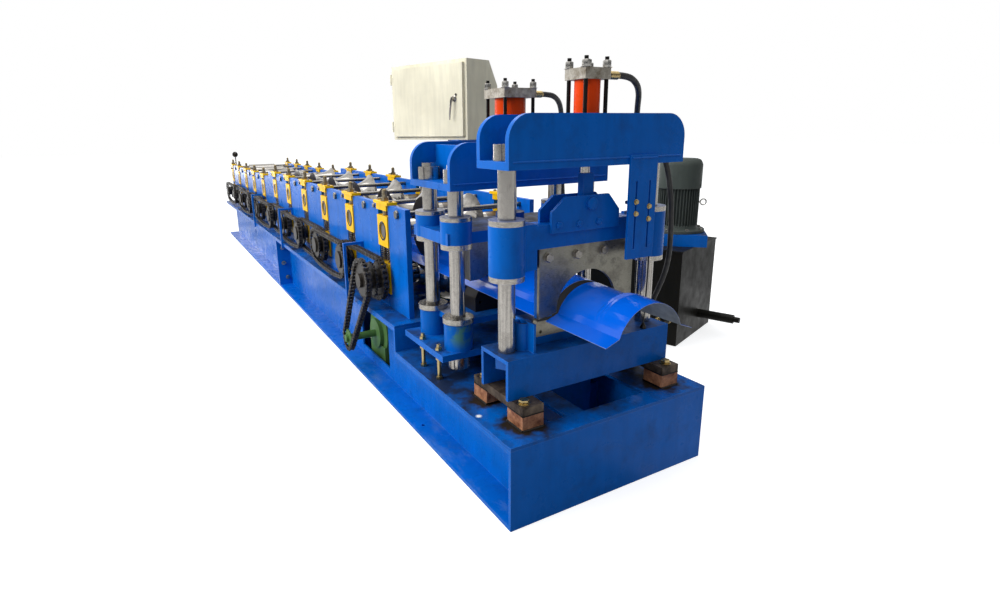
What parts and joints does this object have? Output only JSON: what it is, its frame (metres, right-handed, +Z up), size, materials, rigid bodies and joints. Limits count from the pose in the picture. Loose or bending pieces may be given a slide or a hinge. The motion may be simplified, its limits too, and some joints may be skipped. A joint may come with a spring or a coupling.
{
  "type": "ridge cap roll forming machine",
  "caption": "Floor-standing roll former for ridge sheets: long welded base, chain-driven roll stations, step press, hydraulic cutter, pump unit and control cabinet.",
  "frame": {"origin": "middle of the base footprint on the floor, on the underside of the cross beam there", "axes": "+Y along the machine from the exit end to the entry end, +Z up, +X to the right seen from the exit end"},
  "size_m": [2.3113, 6.869, 1.702],
  "materials": {
    "blue_paint": "gloss enamel, scuffed",
    "yellow_paint": "gloss enamel",
    "bright_steel": "ground and polished",
    "spring_steel": "oiled",
    "oily_chain": "dark with grease",
    "green_paint": "hammered enamel",
    "bare_steel": "rusty, welded",
    "tool_steel": "ground, stained",
    "orange_paint": "gloss enamel",
    "coated_sheet": "high gloss coil coating",
    "black_paint": "satin enamel",
    "grey_paint": "satin enamel",
    "ivory_paint": "powder coat",
    "rubber_hose": "matt",
    "chromed_roll": "polished, worn"
  },
  "bodies": {
    "frame": {"left_sill": "blue_paint", "right_sill": "blue_paint", "cross_members": "blue_paint", "deck_plates": "blue_paint", "left_side_plates": "blue_paint", "right_side_plates": "blue_paint", "bearing_blocks": "yellow_paint", "bearing_caps": "yellow_paint", "block_springs": "spring_steel", "tie_rods": "bright_steel", "motor_chain": "oily_chain", "station_chains": "oily_chain", "chain_guards": "blue_paint", "drive_gearmotor": "green_paint", "entry_guide": "bright_steel", "cutter_feet": "bare_steel", "cutter_channel": "blue_paint", "cutter_posts": "bright_steel", "lower_dies": "tool_steel", "cutter_top_beam": "blue_paint", "cutter_cylinder": "orange_paint", "sensor_plate": "blue_paint", "press_base": "blue_paint", "press_posts": "bright_steel", "press_top_beam": "blue_paint", "press_cylinder": "orange_paint", "ridge_sheet": "coated_sheet", "hydraulic_tank": "black_paint", "pump_motor": "grey_paint", "control_cabinet": "ivory_paint", "cabinet_post": "blue_paint", "cutter_hose": "rubber_hose", "press_hose": "rubber_hose"},
    "cutter_ram": {"cutter_head": "blue_paint", "cutter_blade": "tool_steel"},
    "press_ram": {"press_head": "blue_paint", "press_die": "tool_steel"},
    "door": {"cabinet_door": "ivory_paint"},
    "lower_shaft_1": {"lower_roll_1": "chromed_roll"},
    "upper_shaft_1": {"upper_roll_1": "chromed_roll"},
    "lower_shaft_2": {"lower_roll_2": "chromed_roll"},
    "upper_shaft_2": {"upper_roll_2": "chromed_roll"},
    "lower_shaft_3": {"lower_roll_3": "chromed_roll"},
    "upper_shaft_3": {"upper_roll_3": "chromed_roll"},
    "lower_shaft_4": {"lower_roll_4": "chromed_roll"},
    "upper_shaft_4": {"upper_roll_4": "chromed_roll"},
    "lower_shaft_5": {"lower_roll_5": "chromed_roll"},
    "upper_shaft_5": {"upper_roll_5": "chromed_roll"},
    "lower_shaft_6": {"lower_roll_6": "chromed_roll"},
    "upper_shaft_6": {"upper_roll_6": "chromed_roll"},
    "lower_shaft_7": {"lower_roll_7": "chromed_roll"},
    "upper_shaft_7": {"upper_roll_7": "chromed_roll"},
    "lower_shaft_8": {"lower_roll_8": "chromed_roll"},
    "upper_shaft_8": {"upper_roll_8": "chromed_roll"},
    "lower_shaft_9": {"lower_roll_9": "chromed_roll"},
    "upper_shaft_9": {"upper_roll_9": "chromed_roll"},
    "lower_shaft_10": {"lower_roll_10": "chromed_roll"},
    "upper_shaft_10": {"upper_roll_10": "chromed_roll"},
    "lower_shaft_11": {"lower_roll_11": "chromed_roll"},
    "upper_shaft_11": {"upper_roll_11": "chromed_roll"}
  },
  "joints": [
    {"name": "cutter_stroke", "type": "slide", "parent": "frame", "child": "cutter_ram", "axis": [0, 0, 1], "range_m": [-0.09, 0]},
    {"name": "press_stroke", "type": "slide", "parent": "frame", "child": "press_ram", "axis": [0, 0, 1], "range_m": [-0.04, 0]},
    {"name": "door_hinge", "type": "hinge", "parent": "frame", "child": "door", "pos_m": [0.31607, -0.60717, 1.45], "axis": [0, 0, -1], "range_deg": [0, 110]},
    {"name": "lower_turn_1", "type": "hinge", "parent": "frame", "child": "lower_shaft_1", "pos_m": [0, -2.076, 0.564], "axis": [1, 0, 0], "continuous": true},
    {"name": "upper_turn_1", "type": "hinge", "parent": "frame", "child": "upper_shaft_1", "pos_m": [0, -2.076, 0.793], "axis": [1, 0, 0], "continuous": true},
    {"name": "lower_turn_2", "type": "hinge", "parent": "frame", "child": "lower_shaft_2", "pos_m": [0, -1.557, 0.564], "axis": [1, 0, 0], "continuous": true},
    {"name": "upper_turn_2", "type": "hinge", "parent": "frame", "child": "upper_shaft_2", "pos_m": [0, -1.557, 0.793], "axis": [1, 0, 0], "continuous": true},
    {"name": "lower_turn_3", "type": "hinge", "parent": "frame", "child": "lower_shaft_3", "pos_m": [0, -1.038, 0.564], "axis": [1, 0, 0], "continuous": true},
    {"name": "upper_turn_3", "type": "hinge", "parent": "frame", "child": "upper_shaft_3", "pos_m": [0, -1.038, 0.793], "axis": [1, 0, 0], "continuous": true},
    {"name": "lower_turn_4", "type": "hinge", "parent": "frame", "child": "lower_shaft_4", "pos_m": [0, -0.519, 0.564], "axis": [1, 0, 0], "continuous": true},
    {"name": "upper_turn_4", "type": "hinge", "parent": "frame", "child": "upper_shaft_4", "pos_m": [0, -0.519, 0.793], "axis": [1, 0, 0], "continuous": true},
    {"name": "lower_turn_5", "type": "hinge", "parent": "frame", "child": "lower_shaft_5", "pos_m": [0, 0, 0.564], "axis": [1, 0, 0], "continuous": true},
    {"name": "upper_turn_5", "type": "hinge", "parent": "frame", "child": "upper_shaft_5", "pos_m": [0, 0, 0.793], "axis": [1, 0, 0], "continuous": true},
    {"name": "lower_turn_6", "type": "hinge", "parent": "frame", "child": "lower_shaft_6", "pos_m": [0, 0.519, 0.564], "axis": [1, 0, 0], "continuous": true},
    {"name": "upper_turn_6", "type": "hinge", "parent": "frame", "child": "upper_shaft_6", "pos_m": [0, 0.519, 0.793], "axis": [1, 0, 0], "continuous": true},
    {"name": "lower_turn_7", "type": "hinge", "parent": "frame", "child": "lower_shaft_7", "pos_m": [0, 1.094, 0.564], "axis": [1, 0, 0], "continuous": true},
    {"name": "upper_turn_7", "type": "hinge", "parent": "frame", "child": "upper_shaft_7", "pos_m": [0, 1.094, 0.755], "axis": [1, 0, 0], "continuous": true},
    {"name": "lower_turn_8", "type": "hinge", "parent": "frame", "child": "lower_shaft_8", "pos_m": [0, 1.613, 0.564], "axis": [1, 0, 0], "continuous": true},
    {"name": "upper_turn_8", "type": "hinge", "parent": "frame", "child": "upper_shaft_8", "pos_m": [0, 1.613, 0.755], "axis": [1, 0, 0], "continuous": true},
    {"name": "lower_turn_9", "type": "hinge", "parent": "frame", "child": "lower_shaft_9", "pos_m": [0, 2.132, 0.564], "axis": [1, 0, 0], "continuous": true},
    {"name": "upper_turn_9", "type": "hinge", "parent": "frame", "child": "upper_shaft_9", "pos_m": [0, 2.132, 0.755], "axis": [1, 0, 0], "continuous": true},
    {"name": "lower_turn_10", "type": "hinge", "parent": "frame", "child": "lower_shaft_10", "pos_m": [0, 2.651, 0.564], "axis": [1, 0, 0], "continuous": true},
    {"name": "upper_turn_10", "type": "hinge", "parent": "frame", "child": "upper_shaft_10", "pos_m": [0, 2.651, 0.755], "axis": [1, 0, 0], "continuous": true},
    {"name": "lower_turn_11", "type": "hinge", "parent": "frame", "child": "lower_shaft_11", "pos_m": [0, 3.17, 0.564], "axis": [1, 0, 0], "continuous": true},
    {"name": "upper_turn_11", "type": "hinge", "parent": "frame", "child": "upper_shaft_11", "pos_m": [0, 3.17, 0.755], "axis": [1, 0, 0], "continuous": true}
  ],
  "couplings": [
    {"joint": "upper_turn_1", "follows": "lower_turn_1", "ratio": -1},
    {"joint": "lower_turn_2", "follows": "lower_turn_1", "ratio": 1},
    {"joint": "upper_turn_2", "follows": "lower_turn_1", "ratio": -1},
    {"joint": "lower_turn_3", "follows": "lower_turn_1", "ratio": 1},
    {"joint": "upper_turn_3", "follows": "lower_turn_1", "ratio": -1},
    {"joint": "lower_turn_4", "follows": "lower_turn_1", "ratio": 1},
    {"joint": "upper_turn_4", "follows": "lower_turn_1", "ratio": -1},
    {"joint": "lower_turn_5", "follows": "lower_turn_1", "ratio": 1},
    {"joint": "upper_turn_5", "follows": "lower_turn_1", "ratio": -1},
    {"joint": "lower_turn_6", "follows": "lower_turn_1", "ratio": 1},
    {"joint": "upper_turn_6", "follows": "lower_turn_1", "ratio": -1},
    {"joint": "lower_turn_7", "follows": "lower_turn_1", "ratio": 1},
    {"joint": "upper_turn_7", "follows": "lower_turn_1", "ratio": -1},
    {"joint": "lower_turn_8", "follows": "lower_turn_1", "ratio": 1},
    {"joint": "upper_turn_8", "follows": "lower_turn_1", "ratio": -1},
    {"joint": "lower_turn_9", "follows": "lower_turn_1", "ratio": 1},
    {"joint": "upper_turn_9", "follows": "lower_turn_1", "ratio": -1},
    {"joint": "lower_turn_10", "follows": "lower_turn_1", "ratio": 1},
    {"joint": "upper_turn_10", "follows": "lower_turn_1", "ratio": -1},
    {"joint": "lower_turn_11", "follows": "lower_turn_1", "ratio": 1},
    {"joint": "upper_turn_11", "follows": "lower_turn_1", "ratio": -1}
  ]
}
